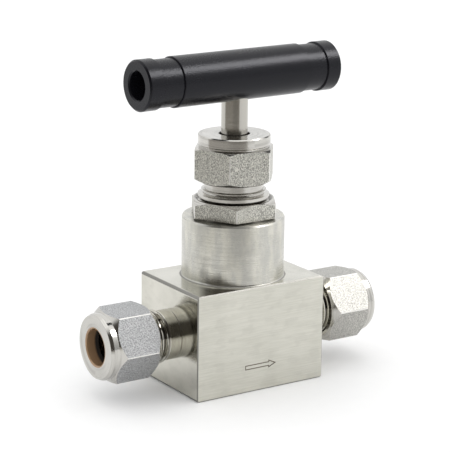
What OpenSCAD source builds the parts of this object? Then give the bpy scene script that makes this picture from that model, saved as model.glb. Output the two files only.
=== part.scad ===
// Bar-stock needle valve with a bar handle and twin-ferrule tube ends.
// Millimetres. X runs along the flow from inlet (-X) to outlet (+X), Z is up.
// The origin is the centre of the block's bottom face, under the stem axis.
// The valve is drawn closed: the ball tip rests just off its seat.

/* [Block and neck] */
// Length of the block along the flow
block_l = 35.4; // [34.6:0.1:36]
// Width and height of the square bar
bar = 25.4; // [25.2:0.1:26.5]
// Edge break round the block
block_edge = 0.25; // [0.1:0.05:0.5]
// Radius of the block's four corners, as seen from the front
block_corner = 0.8; // [0.4:0.1:1.2]
// Diameter of the round neck turned on top of the block
neck_d = 24.3; // [23.6:0.1:25]
// Height of the neck's top face above the base
neck_top = 39.9; // [39.5:0.1:40]
// Height of the steep bevel round the top of the neck
neck_bevel = 0.4; // [0.2:0.05:0.8]
// Fillet where the neck meets the block
neck_fillet = 0.5; // [0.2:0.05:0.5]

/* [Flow path] */
// Height of the tube axis above the base
port_z = 13.3; // [13:0.1:13.6]
// Diameter of the flow orifice
orifice_d = 4; // [3.6:0.1:4]
// Height of the lower edge of the conical seat
seat_z = 12.6; // [12.4:0.1:12.8]
// Diameter of the chamber over the seat
chamber_d = 7.4; // [7.2:0.1:7.6]

/* [Packing] */
// Height of the shoulder that carries the packing
packing_floor = 22; // [21.8:0.1:22.2]
// Diameter of the packing bore
packing_bore_d = 11; // [10.6:0.1:11.4]
// Height of one packing ring
packing_ring_h = 2; // [1.9:0.05:2.05]
// Diameter of the thread between packing bolt and neck
bolt_thread_d = 16.86; // [16.6:0.02:17]

/* [Packing bolt] */
// Width across flats of the packing bolt's hexagon
bolt_hex = 17.6; // [17.2:0.1:18]
// Turn of the hexagon about the stem axis
bolt_turn = -8.7; // [-30:0.1:30]
// Height at which the hexagon's lower corners start
bolt_hex_low = 49.3; // [49.1:0.1:49.6]
// Height at which the hexagon's upper corners end
bolt_hex_high = 55.9; // [55.6:0.1:56.2]
// Diameter of the round collar on top
bolt_collar_d = 17; // [16.6:0.1:17.2]
// Height of the collar's top face
bolt_top = 59.4; // [59.2:0.1:59.8]

/* [Lock nut] */
// Width across flats of the thin lock nut
lock_hex = 19.05; // [18.8:0.05:19.4]
// Turn of the lock nut about the stem axis
lock_turn = 0.7; // [-30:0.1:30]
// Height of the lock nut's upper corners above the neck
lock_corner_h = 3.3; // [3:0.1:3.5]
// Gap under the lock nut's hexagon, outside its washer face
lock_gap = 0.35; // [0.2:0.05:0.5]

/* [Stem] */
// Diameter of the polished upper stem
stem_d = 6.24; // [6:0.02:6.3]
// Diameter of the power thread, 1 mm pitch
power_thread_d = 8; // [7.8:0.1:8.2]
// Diameter of the lower stem in the packing
lower_stem_d = 4.8; // [4.6:0.1:5]
// Diameter of the ball tip
ball_d = 5.8; // [5.6:0.1:5.8]
// Lift of the stem from closed to open
lift = 3.75; // [3:0.05:3.8]

/* [Handle] */
// Length of the bar handle
handle_l = 54.1; // [50:0.1:60]
// Outer diameter of the bar handle
handle_d = 11.8; // [11:0.1:12.4]
// Height of the handle's axis above the base
handle_z = 73.05; // [72:0.05:75]
// Turn of the handle about the stem axis when closed
handle_turn = 2.3; // [-30:0.1:30]
// Diameter of the bore through the handle
handle_bore_d = 6.6; // [6.4:0.1:7]

/* [Tube ends] */
// Outer diameter of the tube that the ends take
tube_d = 8; // [8:0.01:8.05]
// Width across flats of the tube nuts
nut_hex = 16; // [15.8:0.1:16.4]
// Distance from the stem axis to a tube nut's outer face
nut_face = 37.35; // [37.3:0.05:37.5]
// Depth of the bevel along the edges of every hexagon, measured towards its axis
hex_edge = 0.08; // [0.04:0.01:0.15]
// Turn of the inlet nut about the tube axis
inlet_nut_turn = -25.7; // [-30:0.1:30]
// Turn of the outlet nut about the tube axis
outlet_nut_turn = -32; // [-60:0.1:30]
// Major diameter of the fitting thread, 20 threads per inch
fit_thread_d = 12.7; // [12.6:0.05:12.8]

/* [Hidden] */
$fn = 96;

// Clearances
run = 0.05;           // radial running clearance of a shaft or thread in its hole
face_gap = 0.05;      // axial gap between faces that turn against each other

// Colours
steel = [0.70, 0.69, 0.66];
turned = [0.76, 0.75, 0.72];
blasted = [0.62, 0.61, 0.59];
black = [0.05, 0.05, 0.06];
graphite = [0.22, 0.22, 0.23];
bore_tint = [0.60, 0.47, 0.37];

// Radii and levels of the stem side
orifice_r = orifice_d / 2;
orifice_low = 7.2;
inlet_passage_z = 7.6;    // where the inlet passage meets the stem axis, under the seat
outlet_passage_z = 18.2;  // where the outlet passage leaves the chamber
chamber_r = chamber_d / 2;
packing_r = packing_bore_d / 2;
neck_r = neck_d / 2;
bolt_r = bolt_thread_d / 2;
neck_thread_r = bolt_r + run;
neck_thread_floor = 33;
lower_r = lower_stem_d / 2;
support_h = 1.6;
rings_low = packing_floor + support_h;
rings_high = rings_low + 3 * packing_ring_h;
gland_flange_low = 33.5;
gland_top = 35;
gland_flange_r = 7.6;
power_r = power_thread_d / 2;
bolt_travel = 3;      // lift of the packing bolt and gland over three turns
power_low = gland_top + bolt_travel + 0.2;
power_high = 47.6;
power_bore_high = power_high + lift + 0.15;
bolt_bore_r = 3.6;
bolt_pitch = 1;
bolt_thread_high = 45;
bolt_relief_r = 6.96;
bolt_relief_low = 46.2;

// Lock nut
lock_low = neck_top + lock_gap;
lock_washer_low = neck_top + face_gap;
lock_high = neck_top + lock_corner_h;
lock_sink_r = 8.95;

// Lower stem and ball
ball_r = ball_d / 2;
seat_gap = 0.08;
ball_z = seat_z - orifice_r + ball_r * sqrt(2) + seat_gap;
holder_r = 3.2;
holder_low = ball_z - 0.55;
holder_high = ball_z + 2.25;
holder_bevel = holder_r - lower_r;
stem_neck_r = 1.85;
shaft_top = power_low - 0.4;
socket_r = 2.95;
retainer_high = power_low + 2.4;
head_low = retainer_high + face_gap;
head_high = head_low + 1.95;
head_r = socket_r - 0.07;
washer_high = head_high + 0.8;
socket_high = washer_high + face_gap;
stem_r = stem_d / 2;
stem_top = handle_z + 4.2;

// Handle
handle_r = handle_d / 2;
handle_bevel = 0.4;
handle_collar_w = 4;
handle_recess_w = 5.3;
handle_recess = 0.36;
handle_bore_r = handle_bore_d / 2;
screw_l = 6;

// Tube ends, as distances from the stem axis
tube_bore_r = tube_d / 2 + 0.06;
port_relief_r = 5.95;
fit_r = fit_thread_d / 2;
fit_pitch = 1.27;
fit_depth = 0.72;
fit_thread_low = 21;
fit_end = 31;
tube_stop = 21.2;
mouth_angle = 20;
mouth_low = 28.2;
mouth_r = tube_bore_r + (fit_end - mouth_low) * tan(mouth_angle);
nut_hex_back = 25.84;
nut_hex_front = 33.85;
nut_back = 24.1;
nut_collar_r = 7.8;
nut_bevel_l = 0.75;
nut_bevel_r = 0.38;
nut_bore_r = 4.3;
nut_cavity_r = 5.5;
nut_shoulder = 34.05;
ferrule_r = 5.35;
ferrule_nose = 28.9;
front_flange_low = 31.3;
ferrule_split = 32.2;
back_nose_l = 0.6;
back_nose_r = 4.7;
back_ferrule_end = 33.75;

// Flow arrow on the front face
arrow_x = -0.15;
arrow_z = 6.15;
arrow_l = 8.75;
arrow_head_l = 2.2;
arrow_head_w = 2.05;
arrow_shaft_w = 1.15;
arrow_line = 0.25;
arrow_depth = 0.12;

// Circumscribed radius of a hexagon with width w across its flats
function hex_r(w) = w / 2 / cos(30);

// Hexagonal bar of width w across its flats and height h, its long edges bevelled
module hex_bar(w, h) {
    linear_extrude(h)
        intersection() {
            circle(hex_r(w), $fn = 6);
            rotate(30) circle((hex_r(w) - hex_edge) / cos(30), $fn = 6);
        }
}

// Outline of a row of V-shaped thread crests from z0 up, n turns of pitch p
function thread_points(r, depth, p, z0, n) = [
    for (i = [0:n - 1]) each [
        [r - depth, z0 + i * p],
        [r - depth, z0 + (i + 0.1) * p],
        [r, z0 + (i + 0.48) * p],
        [r, z0 + (i + 0.62) * p]
    ]
];

// Outline of an arrow that points along +X, with every edge moved in by t
function arrow_points(t) =
    let (half = arrow_head_w / 2,
         tip_angle = atan(half / arrow_head_l),
         neck_x = arrow_l / 2 - arrow_head_l,
         tip_x = arrow_l / 2 - t / sin(tip_angle),
         wing = (tip_x - neck_x - t) * tan(tip_angle),
         shaft = arrow_shaft_w / 2 - t)
    [[-arrow_l / 2 + t, -shaft], [neck_x + t, -shaft], [neck_x + t, -wing], [tip_x, 0],
     [neck_x + t, wing], [neck_x + t, shaft], [-arrow_l / 2 + t, shaft]];

// A rectangle with its four corners cut off by c, centred
module bevelled_rect(a, b, c) {
    polygon([[-a / 2 + c, -b / 2], [a / 2 - c, -b / 2], [a / 2, -b / 2 + c], [a / 2, b / 2 - c],
        [a / 2 - c, b / 2], [-a / 2 + c, b / 2], [-a / 2, b / 2 - c], [-a / 2, -b / 2 + c]]);
}

// A rectangle with its four corners rounded to radius r, centred
module rounded_rect(a, b, r) {
    square([a - 2 * r, b], center = true);
    square([a, b - 2 * r], center = true);
    for (x = [-1, 1], y = [-1, 1])
        translate([x * (a / 2 - r), y * (b / 2 - r)]) circle(r);
}

// The square bar: round corners as seen from the front, and a small bevel on the other edges
module block() {
    translate([0, 0, bar / 2])
        intersection() {
            linear_extrude(bar, center = true) bevelled_rect(block_l, bar, block_edge);
            rotate([90, 0, 0])
                linear_extrude(bar, center = true) rounded_rect(block_l, bar, block_corner);
            rotate([0, 90, 0])
                linear_extrude(block_l, center = true) bevelled_rect(bar, bar, block_edge);
        }
}

// The turned neck with its root fillet and top bevel, kept inside the block's top face
module neck() {
    intersection() {
        rotate_extrude() {
            polygon([[0, bar - 1], [neck_r, bar - 1], [neck_r, neck_top - neck_bevel],
                [neck_r - 0.6 * neck_bevel, neck_top], [0, neck_top]]);
            translate([neck_r, bar])
                difference() {
                    translate([-0.1, -0.1]) square(neck_fillet + 0.1);
                    translate([neck_fillet, neck_fillet]) circle(neck_fillet);
                }
        }
        translate([0, 0, bar - 1 + (neck_top - bar + 2) / 2])
            cube([block_l - 2 * block_edge, bar - 2 * block_edge, neck_top - bar + 2], center = true);
    }
}

// Turns a shape drawn up the Z axis into one on the tube axis; side is 1 for the outlet
module on_port(side) {
    mirror([side < 0 ? 1 : 0, 0, 0])
        translate([0, 0, port_z])
            rotate([0, 90, 0])
                children();
}

// Threaded tube end, drawn up the Z axis
module port_end() {
    turns = floor((fit_end - 0.6 - fit_thread_low) / fit_pitch);
    rotate_extrude()
        polygon(concat(
            [[0, block_l / 2 - 1], [port_relief_r, block_l / 2 - 1],
             [port_relief_r, fit_thread_low - 0.4]],
            thread_points(fit_r, fit_depth, fit_pitch, fit_thread_low, turns),
            [[fit_r - fit_depth, fit_thread_low + turns * fit_pitch], [fit_r - fit_depth, fit_end],
             [0, fit_end]]));
}

// Tube socket and its conical mouth, drawn up the Z axis
module port_bore() {
    rotate_extrude()
        polygon([[0, tube_stop], [tube_bore_r, tube_stop], [tube_bore_r, mouth_low], [mouth_r, fit_end],
            [mouth_r + 0.2, fit_end + 0.55], [0, fit_end + 0.55]]);
}

// Drilled passage between two points in the XZ plane, lengthened past the first one
module passage(x1, z1, x2, z2) {
    run_l = norm([x2 - x1, z2 - z1]);
    translate([x1, 0, z1])
        rotate([0, atan2(x2 - x1, z2 - z1), 0])
            translate([0, 0, -1])
                cylinder(h = run_l + 1, r = orifice_r);
}

// Orifice, seat, chamber, packing bore and thread bore on the stem axis
module stem_bores() {
    rotate_extrude()
        polygon([[0, orifice_low], [orifice_r, orifice_low], [orifice_r, seat_z],
            [chamber_r, seat_z + chamber_r - orifice_r], [chamber_r, packing_floor],
            [packing_r, packing_floor], [packing_r, neck_thread_floor],
            [neck_thread_r, neck_thread_floor], [neck_thread_r, neck_top - 0.4],
            [neck_thread_r + 0.5, neck_top + 0.1], [0, neck_top + 0.1]]);
}

// Engraved outline of the flow arrow on the front face
module flow_arrow() {
    translate([arrow_x, -bar / 2 + arrow_depth, arrow_z])
        rotate([90, 0, 0])
            linear_extrude(1)
                difference() {
                    polygon(arrow_points(0));
                    polygon(arrow_points(arrow_line));
                }
}

module body() {
    color(steel)
        difference() {
            union() {
                block();
                neck();
                for (side = [-1, 1]) on_port(side) port_end();
            }
            stem_bores();
            for (side = [-1, 1]) on_port(side) port_bore();
            passage(-tube_stop, port_z, 0, inlet_passage_z);
            passage(tube_stop, port_z, 0, outlet_passage_z);
            flow_arrow();
        }
}

// Tube nut drawn up the Z axis, its outer face at nut_face
module tube_nut(turn) {
    corner_r = hex_r(nut_hex);
    difference() {
        union() {
            intersection() {
                rotate([0, 0, turn])
                    translate([0, 0, nut_back]) hex_bar(nut_hex, nut_face - nut_back);
                rotate_extrude()
                    polygon([[0, nut_back], [corner_r + 0.05 - (nut_hex_back - nut_back), nut_back],
                        [corner_r + 0.05, nut_hex_back], [corner_r + 0.05, nut_hex_front],
                        [nut_collar_r, nut_hex_front + corner_r + 0.05 - nut_collar_r],
                        [0, nut_hex_front + corner_r + 0.05 - nut_collar_r]]);
            }
            rotate_extrude()
                polygon([[0, nut_hex_front], [nut_collar_r - 0.2, nut_hex_front],
                    [nut_collar_r - 0.2, nut_hex_front + 1.1], [nut_collar_r, nut_hex_front + 1.3],
                    [nut_collar_r, nut_face - nut_bevel_l], [nut_collar_r - nut_bevel_r, nut_face],
                    [0, nut_face]]);
        }
        rotate_extrude()
            polygon([[0, nut_back - 1], [fit_r + run + 0.4, nut_back - 1], [fit_r + run + 0.4, nut_back],
                [fit_r + run, nut_back + 0.4], [fit_r + run, fit_end + 0.2],
                [nut_cavity_r, fit_end + 0.6], [nut_cavity_r, nut_shoulder - nut_cavity_r + nut_bore_r],
                [nut_bore_r, nut_shoulder], [nut_bore_r, nut_face - 0.22],
                [nut_bore_r + 0.23, nut_face + 0.01], [0, nut_face + 0.01]]);
    }
}

// Front ferrule drawn up the Z axis: a long cone that wedges into the mouth
module front_ferrule() {
    slope = tan(mouth_angle);
    nose_r = tube_bore_r + (ferrule_nose - mouth_low) * slope - 0.04;
    flange_r = nose_r + (front_flange_low - ferrule_nose) * slope;
    rotate_extrude()
        polygon([[tube_bore_r, ferrule_nose], [nose_r, ferrule_nose], [flange_r, front_flange_low],
            [ferrule_r, front_flange_low], [ferrule_r, ferrule_split], [back_nose_r + 0.02, ferrule_split],
            [back_nose_r - 0.33, ferrule_split - back_nose_l],
            [tube_bore_r, ferrule_split - back_nose_l]]);
}

// Back ferrule drawn up the Z axis: its nose sits in the front ferrule
module back_ferrule() {
    nose_low = ferrule_split - back_nose_l + 0.03;
    rotate_extrude()
        polygon([[tube_bore_r, nose_low], [back_nose_r - 0.37, nose_low],
            [back_nose_r - 0.04, ferrule_split + 0.03], [ferrule_r, ferrule_split + 0.03],
            [ferrule_r, back_ferrule_end - ferrule_r + nut_bore_r], [nut_bore_r, back_ferrule_end],
            [tube_bore_r, back_ferrule_end]]);
}

module inlet_nut() {
    color(blasted) on_port(-1) tube_nut(inlet_nut_turn);
}

module inlet_back_ferrule() {
    color(bore_tint) on_port(-1) back_ferrule();
}

module inlet_front_ferrule() {
    color(steel) on_port(-1) front_ferrule();
}

module outlet_nut() {
    color(blasted) on_port(1) tube_nut(outlet_nut_turn);
}

module outlet_back_ferrule() {
    color(bore_tint) on_port(1) back_ferrule();
}

module outlet_front_ferrule() {
    color(steel) on_port(1) front_ferrule();
}

// A flat ring from z0 to z1
module ring(outer, inner, z0, z1) {
    translate([0, 0, z0])
        difference() {
            cylinder(h = z1 - z0, r = outer);
            translate([0, 0, -1]) cylinder(h = z1 - z0 + 2, r = inner);
        }
}

module packing_support() {
    color(steel) ring(packing_r - 0.04, lower_r + run, packing_floor, rings_low);
}

// One graphite packing ring; level counts up from 0
module packing_ring(level) {
    color(graphite)
        ring(packing_r - 0.02, lower_r + 0.03, rings_low + level * packing_ring_h,
            rings_low + (level + 1) * packing_ring_h);
}

module packing_ring_lower() {
    packing_ring(0);
}

module packing_ring_middle() {
    packing_ring(1);
}

module packing_ring_upper() {
    packing_ring(2);
}

// Flanged follower that the packing bolt presses on the rings
module packing_gland() {
    color(turned)
        rotate_extrude()
            polygon([[lower_r + run, rings_high + 0.02], [packing_r - 0.08, rings_high + 0.02],
                [packing_r - 0.08, gland_flange_low], [gland_flange_r, gland_flange_low],
                [gland_flange_r, gland_top - 0.3], [gland_flange_r - 0.3, gland_top],
                [lower_r + run, gland_top]]);
}

// Bored bolt: male thread in the neck, hexagon, and round collar
module packing_bolt() {
    corner_r = hex_r(bolt_hex);
    collar_r = bolt_collar_d / 2;
    chamfer = tan(30);
    low_r = 8.2;
    turns = floor((bolt_thread_high - gland_top) / bolt_pitch);
    color(blasted)
        difference() {
            union() {
                rotate_extrude()
                    polygon(concat([[0, gland_top + face_gap]],
                        thread_points(bolt_r, 0.58, bolt_pitch, gland_top + face_gap, turns),
                        [[bolt_r, bolt_relief_low - 0.95], [bolt_relief_r + 0.45, bolt_relief_low - 0.5],
                         [bolt_relief_r + 0.35, bolt_relief_low - 0.25],
                         [bolt_relief_r + 0.7, bolt_relief_low], [bolt_relief_r + 0.7, bolt_relief_low + 0.1],
                         [bolt_relief_r, bolt_relief_low + 0.3], [bolt_relief_r, bolt_hex_low],
                         [0, bolt_hex_low]]));
                intersection() {
                    rotate([0, 0, bolt_turn])
                        translate([0, 0, bolt_hex_low - 3]) hex_bar(bolt_hex, bolt_top - bolt_hex_low);
                    rotate_extrude()
                        polygon([[0, bolt_hex_low - (corner_r - low_r) * chamfer],
                            [low_r, bolt_hex_low - (corner_r - low_r) * chamfer],
                            [corner_r + 0.05, bolt_hex_low], [corner_r + 0.05, bolt_hex_high],
                            [collar_r - 0.2, bolt_hex_high + (corner_r - collar_r + 0.25) * chamfer],
                            [0, bolt_hex_high + (corner_r - collar_r + 0.25) * chamfer]]);
                }
                rotate_extrude()
                    polygon([[0, bolt_hex_high - 1], [collar_r - 0.25, bolt_hex_high - 1],
                        [collar_r - 0.25, bolt_hex_high + 1], [collar_r, bolt_hex_high + 1.25],
                        [collar_r, bolt_top - 0.22], [collar_r - 0.22, bolt_top], [0, bolt_top]]);
            }
            rotate_extrude()
                polygon([[0, gland_top - 1], [power_r + run + 0.6, gland_top - 1],
                    [power_r + run + 0.6, gland_top + 0.1], [power_r + run, gland_top + 0.7],
                    [power_r + run, power_bore_high], [bolt_bore_r, power_bore_high],
                    [bolt_bore_r, bolt_top - 0.15], [bolt_bore_r + 0.17, bolt_top + 0.02],
                    [0, bolt_top + 0.02]]);
        }
}

// Thin hexagon nut that locks the packing bolt against the neck
module lock_nut() {
    corner_r = hex_r(lock_hex);
    chamfer = tan(30);
    flat_r = lock_hex / 2;
    face_r = flat_r - 0.15;
    top = lock_high + (corner_r - face_r) * chamfer;
    color(blasted)
        difference() {
            union() {
                intersection() {
                    rotate([0, 0, lock_turn])
                        translate([0, 0, lock_low]) hex_bar(lock_hex, top - lock_low);
                    rotate_extrude()
                        polygon([[0, lock_low - 1], [corner_r + 0.05, lock_low - 1],
                            [corner_r + 0.05, lock_high], [face_r, top + 0.03], [0, top + 0.03]]);
                }
                translate([0, 0, lock_washer_low]) cylinder(h = 1, r = flat_r - 0.35);
            }
            rotate_extrude()
                polygon([[0, lock_washer_low - 1], [bolt_r + run, lock_washer_low - 1],
                    [bolt_r + run, top - lock_sink_r + bolt_r + run], [lock_sink_r + 0.1, top + 0.1],
                    [0, top + 0.1]]);
        }
}

// Non-rotating stem: ball holder, shaft through the packing, neck and button head
module lower_stem() {
    color(turned)
        difference() {
            rotate_extrude()
                polygon([[0, holder_low], [holder_r - 0.2, holder_low], [holder_r, holder_low + 0.3],
                    [holder_r, holder_high - holder_bevel], [lower_r, holder_high],
                    [lower_r, shaft_top - 0.3], [lower_r - 0.3, shaft_top], [stem_neck_r, shaft_top],
                    [stem_neck_r, head_low], [head_r, head_low], [head_r, head_high], [0, head_high]]);
            translate([0, 0, ball_z]) sphere(r = ball_r + 0.02);
        }
}

module ball_tip() {
    color(turned) translate([0, 0, ball_z]) sphere(r = ball_r);
}

// Hardened disc between the lower stem's head and the upper stem
module thrust_washer() {
    color(steel)
        translate([0, 0, head_high]) cylinder(h = washer_high - head_high, r = head_r);
}

// Threaded bush that holds the lower stem's head in the upper stem
module stem_retainer() {
    color(steel) ring(socket_r - 0.02, stem_neck_r + run, power_low, retainer_high);
}

// Rotating stem with the power thread at its foot and a plain shank to the handle
module upper_stem() {
    color(turned)
        rotate_extrude()
            polygon([[socket_r, power_low], [power_r - 0.3, power_low], [power_r, power_low + 0.3],
                [power_r, power_high - 0.4], [power_r - 0.4, power_high], [stem_r, power_high],
                [stem_r, stem_top - 0.4], [stem_r - 0.4, stem_top], [0, stem_top], [0, socket_high],
                [socket_r, socket_high]]);
}

// Turns a shape drawn up the Z axis into one on the handle's axis
module on_handle() {
    rotate([0, 0, handle_turn])
        translate([0, 0, handle_z])
            rotate([0, 90, 0])
                children();
}

// Bar handle: a bored rod with a collar and a shallow recess at each end
module handle_bar() {
    half = handle_l / 2;
    recess_r = handle_r - handle_recess;
    inner = half - handle_collar_w - handle_recess_w;
    outline = [[handle_r, 0], [handle_r, inner - 0.15], [handle_r - 0.15, inner], [recess_r, inner],
        [recess_r, inner + handle_recess_w - 0.1], [handle_r - 0.1, half - handle_collar_w],
        [handle_r, half - handle_collar_w + 0.1], [handle_r, half - handle_bevel],
        [handle_r - handle_bevel, half], [handle_bore_r + 0.3, half], [handle_bore_r, half - 0.3],
        [handle_bore_r, 0]];
    color(black)
        difference() {
            union() {
                on_handle() rotate_extrude() polygon(outline);
                on_handle() mirror([0, 0, 1]) rotate_extrude() polygon(outline);
            }
            translate([0, 0, handle_z - handle_r - 1])
                cylinder(h = stem_top + 0.1 - handle_z + handle_r + 1, r = stem_r + 0.02);
        }
}

// Socket set screw inside the handle's bore, tight on the stem
module handle_set_screw() {
    color(steel)
        on_handle()
            translate([0, 0, stem_r + 0.03])
                difference() {
                    rotate_extrude()
                        polygon([[0, 0], [handle_bore_r - 0.8, 0], [handle_bore_r - 0.05, 0.75],
                            [handle_bore_r - 0.05, screw_l - 0.4], [handle_bore_r - 0.45, screw_l],
                            [0, screw_l]]);
                    translate([0, 0, screw_l - 2.6]) cylinder(h = 3, r = hex_r(3), $fn = 6);
                }
}

body();
inlet_nut();
inlet_back_ferrule();
inlet_front_ferrule();
outlet_nut();
outlet_back_ferrule();
outlet_front_ferrule();
packing_support();
packing_ring_lower();
packing_ring_middle();
packing_ring_upper();
packing_gland();
packing_bolt();
lock_nut();
lower_stem();
ball_tip();
thrust_washer();
stem_retainer();
upper_stem();
handle_bar();
handle_set_screw();
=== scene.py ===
"""Looks of a bar-stock needle valve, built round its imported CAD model.

Metres, in the CAD frame: X along the flow, Z up the stem, origin under the stem on the floor.
Azimuths are degrees round Z from the front face, positive towards the outlet.
"""
import math
from collections import namedtuple

import bpy
from mathutils import Matrix, Vector

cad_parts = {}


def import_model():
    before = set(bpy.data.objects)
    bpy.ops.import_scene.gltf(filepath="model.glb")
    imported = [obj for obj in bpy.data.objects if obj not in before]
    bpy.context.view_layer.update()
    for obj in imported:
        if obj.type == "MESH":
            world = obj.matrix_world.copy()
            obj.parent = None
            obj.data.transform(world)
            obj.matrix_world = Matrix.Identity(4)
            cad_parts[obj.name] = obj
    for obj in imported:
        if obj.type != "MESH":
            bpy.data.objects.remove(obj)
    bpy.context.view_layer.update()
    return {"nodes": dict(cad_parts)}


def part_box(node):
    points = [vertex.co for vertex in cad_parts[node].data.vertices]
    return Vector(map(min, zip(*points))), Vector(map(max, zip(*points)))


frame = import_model()

MM = 0.001


# ---------------------------------------------------------------- node graphs

# Place of a point on a turned part: level along its axis, distance from it, and angle round it
Turning = namedtuple("Turning", "along radius angle")


class Nodes:
    """Adds shader nodes to a tree. Inputs are sockets or plain values."""

    def __init__(self, tree):
        self.tree = tree

    def put(self, socket, value):
        if isinstance(value, bpy.types.NodeSocket):
            self.tree.links.new(value, socket)
        elif isinstance(value, (tuple, list)) and len(value) == 3 and socket.type == "RGBA":
            socket.default_value = (*value, 1)
        else:
            socket.default_value = value

    def add(self, kind, inputs, **props):
        node = self.tree.nodes.new(kind)
        for key, value in props.items():
            setattr(node, key, value)
        for key, value in inputs.items():
            self.put(node.inputs[key], value)
        return node

    def calc(self, operation, a, b=0.0, clamp=False):
        node = self.add("ShaderNodeMath", {0: a, 1: b}, operation=operation)
        node.use_clamp = clamp
        return node.outputs[0]

    def plus(self, a, b, clamp=False):
        return self.calc("ADD", a, b, clamp)

    def minus(self, a, b):
        return self.calc("SUBTRACT", a, b)

    def times(self, a, b):
        """Product; of two masks, it is where both hold."""
        return self.calc("MULTIPLY", a, b)

    def over(self, a, b):
        return self.calc("DIVIDE", a, b)

    def size(self, a):
        return self.calc("ABSOLUTE", a)

    def hypot(self, a, b):
        return self.calc("SQRT", self.plus(self.times(a, a), self.times(b, b)))

    def flip(self, mask):
        return self.minus(1.0, mask)

    def step(self, value, edge, width):
        """0 below edge and 1 above it, over a soft step."""
        return self.plus(self.over(self.minus(value, edge), width), 0.5, clamp=True)

    def sway(self, noise, reach):
        """Turns noise round 0.5 into an offset round zero."""
        return self.times(self.minus(noise, 0.5), reach)

    def mix_value(self, share, a, b):
        node = self.add("ShaderNodeMix", {}, data_type="FLOAT")
        self.put(node.inputs[0], share)
        self.put(node.inputs[2], a)
        self.put(node.inputs[3], b)
        return node.outputs[0]

    def mix_colour(self, share, a, b):
        node = self.add("ShaderNodeMix", {0: share}, data_type="RGBA")
        self.put(node.inputs[6], a)
        self.put(node.inputs[7], b)
        return node.outputs[2]

    def glaze(self, tone, *layers):
        """Lays colours over a tone. A layer is (mask, share, colour)."""
        for mask, share, colour in layers:
            tone = self.mix_colour(self.times(mask, share), tone, colour)
        return tone


class Graph(Nodes):
    """One procedural material."""

    def __init__(self, name, metallic):
        self.material = bpy.data.materials.new(name)
        self.material.use_nodes = True
        super().__init__(self.material.node_tree)
        self.shader = self.tree.nodes["Principled BSDF"]
        self.set("Metallic", metallic)
        self.coords = self.tree.nodes.new("ShaderNodeTexCoord")
        place = self.add("ShaderNodeSeparateXYZ", {0: self.coords.outputs["Object"]})
        normal = self.add("ShaderNodeSeparateXYZ", {0: self.coords.outputs["Normal"]})
        self.x, self.y, self.z = place.outputs
        self.nx, self.ny, self.nz = normal.outputs

    def set(self, name, value):
        self.put(self.shader.inputs[name], value)

    def noise(self, per_metre, detail=2.0, rough=0.5):
        """Noise in object space. per_metre is its frequency, or one along each of X, Y and Z."""
        if not isinstance(per_metre, tuple):
            per_metre = (per_metre, per_metre, per_metre)
        scaled = self.add("ShaderNodeMapping",
                          {"Vector": self.coords.outputs["Object"], "Scale": per_metre})
        return self.texture(scaled, detail, rough)

    def texture(self, place, detail, rough):
        node = self.add("ShaderNodeTexNoise", {
            "Vector": place.outputs[0], "Scale": 1.0, "Detail": detail, "Roughness": rough})
        return node.outputs["Fac"]

    def turning(self, axis, centre):
        """Place on a part turned about an X or Z axis through centre."""
        along, a, b = {"z": (self.z, self.x, self.y), "x": (self.x, self.y, self.z)}[axis]
        a = self.minus(a, centre[0])
        b = self.minus(b, centre[1])
        return Turning(along, self.hypot(a, b), self.calc("ARCTAN2", a, b))

    def lathe_lines(self, turning, per_metre, round_share=1.5):
        """Fine lines left by turning: they change along the axis and outwards, little round it."""
        place = self.add("ShaderNodeCombineXYZ", {
            0: self.times(turning.along, per_metre),
            1: self.times(turning.radius, per_metre),
            2: self.times(turning.angle, round_share)})
        return self.texture(place, 3.0, 0.6)

    def bump(self, height, strength, distance=0.02 * MM):
        node = self.add("ShaderNodeBump",
                        {"Height": height, "Strength": strength, "Distance": distance})
        self.set("Normal", node.outputs[0])


def paint(graph, *node_names):
    """Gives CAD nodes a material."""
    for name in node_names:
        for slot in frame["nodes"][name].material_slots:
            slot.material = graph.material


# ---------------------------------------------------------------- sizes

body_low, body_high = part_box("body")
NUT_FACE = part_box("outlet_nut")[1].x
ferrule_low, ferrule_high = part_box("inlet_front_ferrule")

# Axes of the stem and of the two tube ends, as (X, Y) and (Y, Z)
STEM = (0.0, 0.0)
PORT = (0.0, (ferrule_low.z + ferrule_high.z) / 2)

# The block is square bar, as high as it is deep.
BLOCK_TOP = 2 * body_high.y
BLOCK_END = 17.7 * MM
FRONT_FACE = body_low.y

# Width over which one finish gives way to the next
SOFT_EDGE = 0.1 * MM

# Thread of the tube ends: where it starts, and a radius between its roots and its crests
THREAD_START = 20.7 * MM
THREAD_MIDDLE = 6.1 * MM
THREAD_EDGE = 0.25 * MM

# Half of each hexagon's width across its flats
TUBE_NUT_APOTHEM = 8.0 * MM
BOLT_APOTHEM = 8.8 * MM
LOCK_APOTHEM = 9.525 * MM


# ---------------------------------------------------------------- metal

# The bar: a soft mottle, brush streaks on the front and back, and marks; its edges painted darker,
# and painted shade in its thread roots
BAR_LIGHT, BAR_DARK = (0.65, 0.635, 0.575), (0.57, 0.56, 0.50)
STREAK_LIGHT, STREAK_DARK = (0.67, 0.665, 0.60), (0.56, 0.555, 0.49)
BAR_PATCH = (0.48, 0.47, 0.42)
# Painted much darker on the block's bevelled edges
BAR_EDGE = (0.24, 0.235, 0.22)
NECK_MOTTLE = (0.44, 0.44, 0.42)
END_RINGS = (0.22, 0.19, 0.15)
ARROW = (0.20, 0.175, 0.145)
# Painted shade in the thread roots
THREAD_ROOT_SHADE = (0.16, 0.15, 0.13)

# The hexagons: polished parts, their lathe rings, their corners painted lighter as a highlight,
# then the blasted flats
POLISHED_LIGHT, POLISHED_DARK = (0.60, 0.585, 0.55), (0.50, 0.49, 0.46)
POLISHED_RINGS = (0.26, 0.25, 0.23)
CORNER_HIGHLIGHT = (0.84, 0.83, 0.80)
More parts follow.
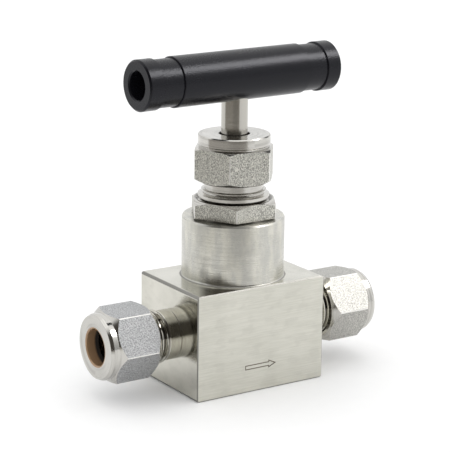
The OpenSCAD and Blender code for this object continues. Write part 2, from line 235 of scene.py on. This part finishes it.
# The inlet nut's flats: a cooler tone, and darker than the outlet nut's as painted shade
COOL_SHADED_FLAT = (0.55, 0.555, 0.56)
PALE_FLAT = (0.60, 0.59, 0.555)
WARM_FLAT = (0.72, 0.71, 0.65)

# Bores: brown where the ferrules' tint is reflected, and deep shade
BROWN = (0.33, 0.21, 0.12)
SHADE = (0.05, 0.045, 0.04)

STEM_STEEL = (0.50, 0.485, 0.445)
GLAND_STEEL = (0.60, 0.59, 0.56)
FERRULE_STEEL = (0.42, 0.33, 0.26)
LAPPED_ALLOY = (0.55, 0.55, 0.57)
BLACKENED = (0.12, 0.12, 0.125)

ON_PLANE = 0.97      # least lean of a normal that belongs to a flat face of the block
UPRIGHT = 0.12       # greatest lean along the axis of a normal that belongs to a hexagon's side


def body_material():
    """Bar stock: brushed front and back, milled ends and top, turned neck and tube ends."""
    g = Graph("bar_stock_steel", 1.0)
    neck = g.step(g.z, BLOCK_TOP + 0.2 * MM, SOFT_EDGE)
    ends = g.step(g.size(g.x), BLOCK_END + 0.1 * MM, SOFT_EDGE)
    block = g.times(g.flip(neck), g.flip(ends))
    lean_x, lean_y, lean_z = (g.size(part) for part in (g.nx, g.ny, g.nz))
    front = g.times(g.step(lean_y, ON_PLANE, 0.02), block)
    square = g.calc("MAXIMUM", g.calc("MAXIMUM", lean_x, lean_y), lean_z)
    # The block's bevelled edges, painted much darker than its faces, and rougher
    edge = g.times(g.flip(g.step(square, ON_PLANE, 0.02)), block)

    hair = g.noise((240.0, 8000.0, 8000.0), 3.0, 0.6)
    strands = g.noise((120.0, 3600.0, 3600.0))
    brushed = g.plus(g.times(hair, 0.6), g.times(strands, 0.4))
    milled = g.noise((2600.0, 90.0, 90.0), 3.0, 0.6)
    port = g.turning("x", PORT)
    end_lines = g.lathe_lines(port, 4000.0)
    neck_lines = g.lathe_lines(g.turning("z", STEM), 5000.0)
    lines = g.mix_value(neck, g.mix_value(ends, milled, end_lines), neck_lines)
    height = g.mix_value(front, g.times(lines, g.mix_value(neck, 1.0, 1.8)), brushed)
    g.bump(height, g.mix_value(front, 0.22, 0.15))

    cloud = g.noise((110.0, 110.0, 160.0), 3.0, 0.55)
    rough = g.mix_value(neck, g.mix_value(ends, 0.14, 0.08), 0.21)
    rough = g.mix_value(edge, g.mix_value(front, rough, 0.34), 0.5)
    rough = g.plus(rough, g.sway(cloud, 0.12))
    g.set("Roughness", g.plus(rough, g.sway(height, 0.22), clamp=True))

    patches = g.noise((230.0, 230.0, 420.0))
    mottle = g.noise((420.0, 420.0, 110.0), 3.0, 0.6)
    rings = g.lathe_lines(port, 900.0)
    # Painted shade in the thread roots of the tube ends
    painted_root_shade = g.times(g.flip(g.step(port.radius, THREAD_MIDDLE, THREAD_EDGE)),
                    g.step(g.size(g.x), THREAD_START, SOFT_EDGE))
    worn = g.times(g.times(ends, g.flip(neck)), g.step(rings, 0.52, 0.1))
    facing = g.step(g.times(g.ny, -1.0), 0.9, 0.1)
    sunk = g.times(g.step(g.y, FRONT_FACE + 0.04 * MM, 0.03 * MM), g.times(facing, block))
    streaks = g.mix_colour(g.step(brushed, 0.5, 0.16), STREAK_DARK, STREAK_LIGHT)
    g.set("Base Color", g.glaze(
        g.mix_colour(g.step(cloud, 0.5, 0.35), BAR_LIGHT, BAR_DARK),
        (front, 0.55, streaks),
        (g.step(patches, 0.58, 0.1), 0.25, BAR_PATCH),
        (edge, 0.9, BAR_EDGE),
        (painted_root_shade, 0.8, THREAD_ROOT_SHADE),
        (worn, 0.15, END_RINGS),
        (g.times(neck, g.step(mottle, 0.5, 0.2)), 0.6, NECK_MOTTLE),
        (sunk, 1.0, ARROW)))
    return g


def hexagon_material(name, axis, centre, apothem, flat_colour, pit_share, shine, bore, root_shade=None):
    """Blasted flats, polished bevels and collar, corners painted lighter as a highlight, painted
    shade in the thread roots, and a bore painted with shade, brown near the face of the tube nuts
    as a painted reflection.

    pit_share is how bright a pit is beside the flat round it, and shine is the roughness of the
    polished parts. bore is (radius, level, outer colour, inner colour); the level is where the
    colour changes. The thread-root argument is (level, radius): thread roots below the one and
    inside the other are painted with shade."""
    g = Graph(name, 1.0)
    turning = g.turning(axis, centre)
    lean = g.size({"z": g.nz, "x": g.nx}[axis])
    across = {"z": ((g.x, g.nx), (g.y, g.ny)), "x": ((g.y, g.ny), (g.z, g.nz))}[axis]
    reach = 0.0
    for (place, normal), middle in zip(across, centre):
        reach = g.plus(g.times(g.minus(place, middle), normal), reach)
    side = g.flip(g.step(lean, UPRIGHT, 0.05))
    flat = g.step(reach, apothem - 0.1 * MM, 0.05 * MM)
    flat = g.times(flat, g.flip(g.step(reach, apothem + 0.1 * MM, 0.05 * MM)))
    flat = g.times(flat, side)
    # Bevelled corners between the flats, coloured lighter than the steel as a painted highlight
    corner = g.times(g.step(turning.radius, apothem * 1.1, 0.05 * MM), side)
    corner = g.times(corner, g.flip(flat))

    grain = g.noise(4700.0, 0.0)
    lines = g.lathe_lines(turning, 5000.0)
    g.bump(g.mix_value(flat, g.times(lines, 0.12), grain), 0.5, 0.05 * MM)

    cloud = g.noise(140.0, 3.0)
    rough = g.mix_value(flat, g.mix_value(corner, shine, 0.4), 0.42)
    g.set("Roughness", g.plus(rough, g.sway(cloud, 0.14), clamp=True))

    pits = g.flip(g.step(grain, 0.5, 0.3))
    blasted = g.mix_colour(pits, flat_colour, tuple(c * pit_share for c in flat_colour))
    rings = g.lathe_lines(turning, 1300.0, 0.4)
    tone = g.glaze(
        g.mix_colour(g.step(cloud, 0.5, 0.4), POLISHED_LIGHT, POLISHED_DARK),
        (g.step(rings, 0.54, 0.1), 0.35, POLISHED_RINGS),
        (corner, 1.0, CORNER_HIGHLIGHT),
        (flat, 1.0, blasted))
    if root_shade:
        root_level, root_radius = root_shade
        # Painted shade in the thread roots, and round the lock nut's bore
        painted_thread_shade = g.times(g.flip(g.step(turning.radius, root_radius, THREAD_EDGE)),
                       g.flip(g.step(turning.along, root_level, SOFT_EDGE)))
        tone = g.glaze(tone, (painted_thread_shade, 0.8, THREAD_ROOT_SHADE))
    bore_radius, bore_level, outer, inner = bore
    inside = g.step(g.minus(bore_radius, turning.radius), 0.0, SOFT_EDGE)
    near = g.step(g.size(turning.along), bore_level, 0.5 * MM)
    g.set("Base Color", g.mix_colour(inside, tone, g.mix_colour(near, inner, outer)))
    g.set("Metallic", g.mix_value(inside, 1.0, 0.25))
    return g


def turned_material(name, colour, roughness, lines_per_metre, strength, axis="z", centre=STEM):
    """Steel turned or polished round an axis; strength is how deep its lines look."""
    g = Graph(name, 1.0)
    lines = g.lathe_lines(g.turning(axis, centre), lines_per_metre)
    cloud = g.noise((150.0, 150.0, 60.0), 3.0)
    rough = g.plus(roughness - 0.05, g.times(cloud, 0.10))
    g.set("Roughness", g.plus(rough, g.times(lines, 0.04)))
    g.set("Base Color", g.mix_colour(cloud, colour, tuple(c * 0.9 for c in colour)))
    g.bump(lines, strength)
    return g


def handle_material():
    """Satin black anodised aluminium with a fine etched grain."""
    g = Graph("black_anodised_bar", 0.0)
    grain = g.noise(3400.0, 1.0, 0.6)
    cloud = g.noise(120.0, 3.0)
    g.set("Base Color", g.mix_colour(cloud, (0.003, 0.003, 0.004), (0.007, 0.007, 0.0095)))
    rough = g.plus(0.18, g.times(cloud, 0.08))
    g.set("Roughness", g.plus(rough, g.times(grain, 0.08)))
    g.set("Specular IOR Level", 0.24)
    g.set("Specular Tint", (0.92, 0.93, 1.0))
    g.bump(grain, 0.8, 0.04 * MM)
    return g


def graphite_material():
    """Pressed flexible graphite with flakes that lie level."""
    g = Graph("pressed_graphite", 0.3)
    flakes = g.noise((2500.0, 2500.0, 6000.0), 4.0, 0.7)
    g.set("Base Color", g.mix_colour(flakes, (0.03, 0.03, 0.032), (0.09, 0.09, 0.095)))
    g.set("Roughness", 0.5)
    g.bump(flakes, 0.4, 0.05 * MM)
    return g


TUBE_NUT = {"axis": "x", "centre": PORT, "apothem": TUBE_NUT_APOTHEM,
            "pit_share": 0.5, "shine": 0.13,
            "bore": (4.7 * MM, NUT_FACE - 2.3 * MM, BROWN, SHADE)}
STEM_HEXAGON = {"axis": "z", "centre": STEM, "flat_colour": WARM_FLAT,
                "pit_share": 0.36, "shine": 0.2,
                "bore": (3.7 * MM, 0.0, SHADE, SHADE)}

paint(body_material(), "body")
# The inlet nut is painted darker than the outlet nut, as shade
paint(hexagon_material("inlet_nut_steel", flat_colour=COOL_SHADED_FLAT, **TUBE_NUT), "inlet_nut")
paint(hexagon_material("outlet_nut_steel", flat_colour=PALE_FLAT, **TUBE_NUT), "outlet_nut")
# Painted shade in the packing bolt's thread roots and round the lock nut's bore
paint(hexagon_material("packing_bolt_steel", apothem=BOLT_APOTHEM, root_shade=(44.6 * MM, 8.2 * MM),
                       **STEM_HEXAGON), "packing_bolt")
paint(hexagon_material("lock_nut_steel", apothem=LOCK_APOTHEM, root_shade=(60 * MM, 9.2 * MM),
                       **STEM_HEXAGON), "lock_nut")
paint(turned_material("polished_stem_steel", STEM_STEEL, 0.17, 2200.0, 0.6),
      "upper_stem", "lower_stem")
paint(turned_material("turned_gland_steel", GLAND_STEEL, 0.3, 3500.0, 0.2),
      "packing_gland", "packing_support", "stem_retainer")
paint(turned_material("lapped_alloy", LAPPED_ALLOY, 0.1, 6000.0, 0.05),
      "ball_tip", "thrust_washer")
paint(turned_material("ferrule_steel_tinted", FERRULE_STEEL, 0.25, 4000.0, 0.1, "x", PORT),
      "inlet_back_ferrule", "outlet_back_ferrule", "inlet_front_ferrule", "outlet_front_ferrule")
paint(handle_material(), "handle_bar")
paint(turned_material("blackened_screw", BLACKENED, 0.4, 3000.0, 0.2),
      "handle_set_screw")
paint(graphite_material(),
      "packing_ring_lower", "packing_ring_middle", "packing_ring_upper")


# ---------------------------------------------------------------- studio

def direction(azimuth, elevation=0):
    """Unit vector out from the valve."""
    a, e = math.radians(azimuth), math.radians(elevation)
    return Vector((math.sin(a) * math.cos(e), -math.cos(a) * math.cos(e), math.sin(e)))


def add_object(name, data):
    """A new object in the scene."""
    obj = bpy.data.objects.new(name, data)
    bpy.context.scene.collection.objects.link(obj)
    return obj


def sheet(name, points, faces, material):
    """A flat piece of the studio."""
    mesh = bpy.data.meshes.new(name)
    mesh.from_pydata(points, [], faces)
    mesh.materials.append(material)
    return add_object(name, mesh)


def floor():
    """A wide pale floor."""
    half = 3.0
    g = Graph("white_floor", 0.0)
    g.set("Base Color", g.mix_colour(g.noise(300.0), (0.94, 0.94, 0.94), (0.92, 0.92, 0.92)))
    g.set("Roughness", 0.6)
    g.set("Specular IOR Level", 0.2)
    corners = [(-half, -half, 0), (half, -half, 0), (half, half, 0), (-half, half, 0)]
    obj = sheet("studio_floor", corners, [(0, 1, 2, 3)], g.material)


def dim_card():
    """A fan just over the floor, which only reflections see.

    In the polished faces the floor looks dim beyond the end of its white sheet, and dimmest
    towards the middle, where the photographer stands."""
    azimuth, half_width, pieces = -56, 65, 24
    near, far, height = 0.09, 1.6, 0.5 * MM
    middle_azimuth, middle_half_width = -24, 24
    sheet_end = 0.248

    g = Graph("dim_card", 0.0)
    g.set("Roughness", 0.8)
    out = g.turning("z", STEM).radius
    towards = direction(middle_azimuth)
    share = g.over(g.plus(g.times(g.x, towards.x), g.times(g.y, towards.y)), out)
    middle = g.step(share, math.cos(math.radians(middle_half_width)), 0.12)
    outer = g.step(out, sheet_end, 0.02)
    tone = g.mix_colour(g.step(out, 0.165, 0.14), (0.93, 0.93, 0.92), (0.64, 0.62, 0.59))
    tone = g.mix_colour(outer, tone, (0.22, 0.20, 0.17))
    darkest = g.times(middle, g.mix_value(outer, 0.27, 0.45))
    g.set("Base Color", g.mix_colour(darkest, tone, (0.07, 0.06, 0.05)))

    points = []
    for i in range(pieces + 1):
        ray = direction(azimuth + half_width * (2 * i / pieces - 1))
        points += [(ray.x * reach, ray.y * reach, height) for reach in (near, far)]
    faces = [(2 * i, 2 * i + 1, 2 * i + 3, 2 * i + 2) for i in range(pieces)]
    obj = sheet("dim_card", points, faces, g.material)
    obj.visible_camera = False
    obj.visible_diffuse = False
    obj.visible_shadow = False


def world():
    """A pale room with a dim side in front on the left.

    Only reflections see the dim side; the camera and diffuse light see an even tone."""
    dim_azimuth, dim_half_width, dim_top = -38, 66, 57
    made = bpy.data.worlds.new("studio_room")
    made.use_nodes = True
    g = Nodes(made.node_tree)
    ray = g.add("ShaderNodeTexCoord", {}).outputs["Generated"]
    x, y, z = g.add("ShaderNodeSeparateXYZ", {0: ray}).outputs
    towards = direction(dim_azimuth)
    share = g.plus(g.times(x, towards.x), g.times(y, towards.y))
    share = g.over(share, g.calc("MAXIMUM", g.hypot(x, y), 0.001))
    dim = g.step(share, math.cos(math.radians(dim_half_width)), 0.22)
    dim = g.times(dim, g.flip(g.step(z, math.sin(math.radians(dim_top)), 0.16)))
    pale = g.mix_colour(g.step(z, 0.45, 0.9), (0.95, 0.96, 0.97), (1.25, 1.25, 1.25))
    seen = g.mix_colour(dim, pale, (0.09, 0.083, 0.075))
    path = g.add("ShaderNodeLightPath", {}).outputs
    seen = g.mix_colour(path["Is Diffuse Ray"], seen, (1.19, 1.19, 1.19))
    seen = g.mix_colour(path["Is Camera Ray"], seen, (0.93, 0.93, 0.93))
    background = made.node_tree.nodes["Background"]
    g.put(background.inputs["Color"], seen)
    g.put(background.inputs["Strength"], 1.0)
    bpy.context.scene.world = made


def area_light(name, azimuth, elevation, distance, width, height, power, colour=(1, 1, 1)):
    """A soft box that faces the valve."""
    aim = Vector((0, 0, 35 * MM))
    out = direction(azimuth, elevation)
    light = bpy.data.lights.new(name, "AREA")
    light.shape = "RECTANGLE"
    light.size, light.size_y = width, height
    light.energy = power
    light.color = colour
    obj = add_object(name, light)
    obj.location = aim + out * distance
    obj.rotation_euler = out.to_track_quat("Z", "Y").to_euler()
    return obj


def camera():
    """The camera stands in front of the inlet side and looks down a little."""
    azimuth, elevation, roll = -33.384, 14.713, 0.711
    distance = 0.42634
    target = Vector((-2.0, 0.0, 37.27)) * MM
    back = direction(azimuth, elevation)
    right = Vector((0, 0, 1)).cross(back).normalized()
    up = back.cross(right)
    r = math.radians(roll)
    right_rolled = right * math.cos(r) + up * math.sin(r)
    up_rolled = up * math.cos(r) - right * math.sin(r)
    data = bpy.data.cameras.new("camera")
    data.sensor_width, data.lens = 36, 144.27844
    obj = add_object("camera", data)
    turn = Matrix((right_rolled, up_rolled, back)).transposed().to_4x4()
    obj.matrix_world = Matrix.Translation(target + back * distance) @ turn
    bpy.context.scene.camera = obj


floor()
dim_card()
world()
key = area_light("key_softbox", azimuth=56, elevation=46, distance=0.75,
                 width=0.4, height=0.22, power=2.7, colour=(1.0, 0.99, 0.98))
key.visible_diffuse = False
area_light("top_softbox", azimuth=150, elevation=86, distance=0.9,
           width=0.8, height=0.8, power=0.5)
camera()
bpy.context.scene.view_settings.view_transform = "Standard"
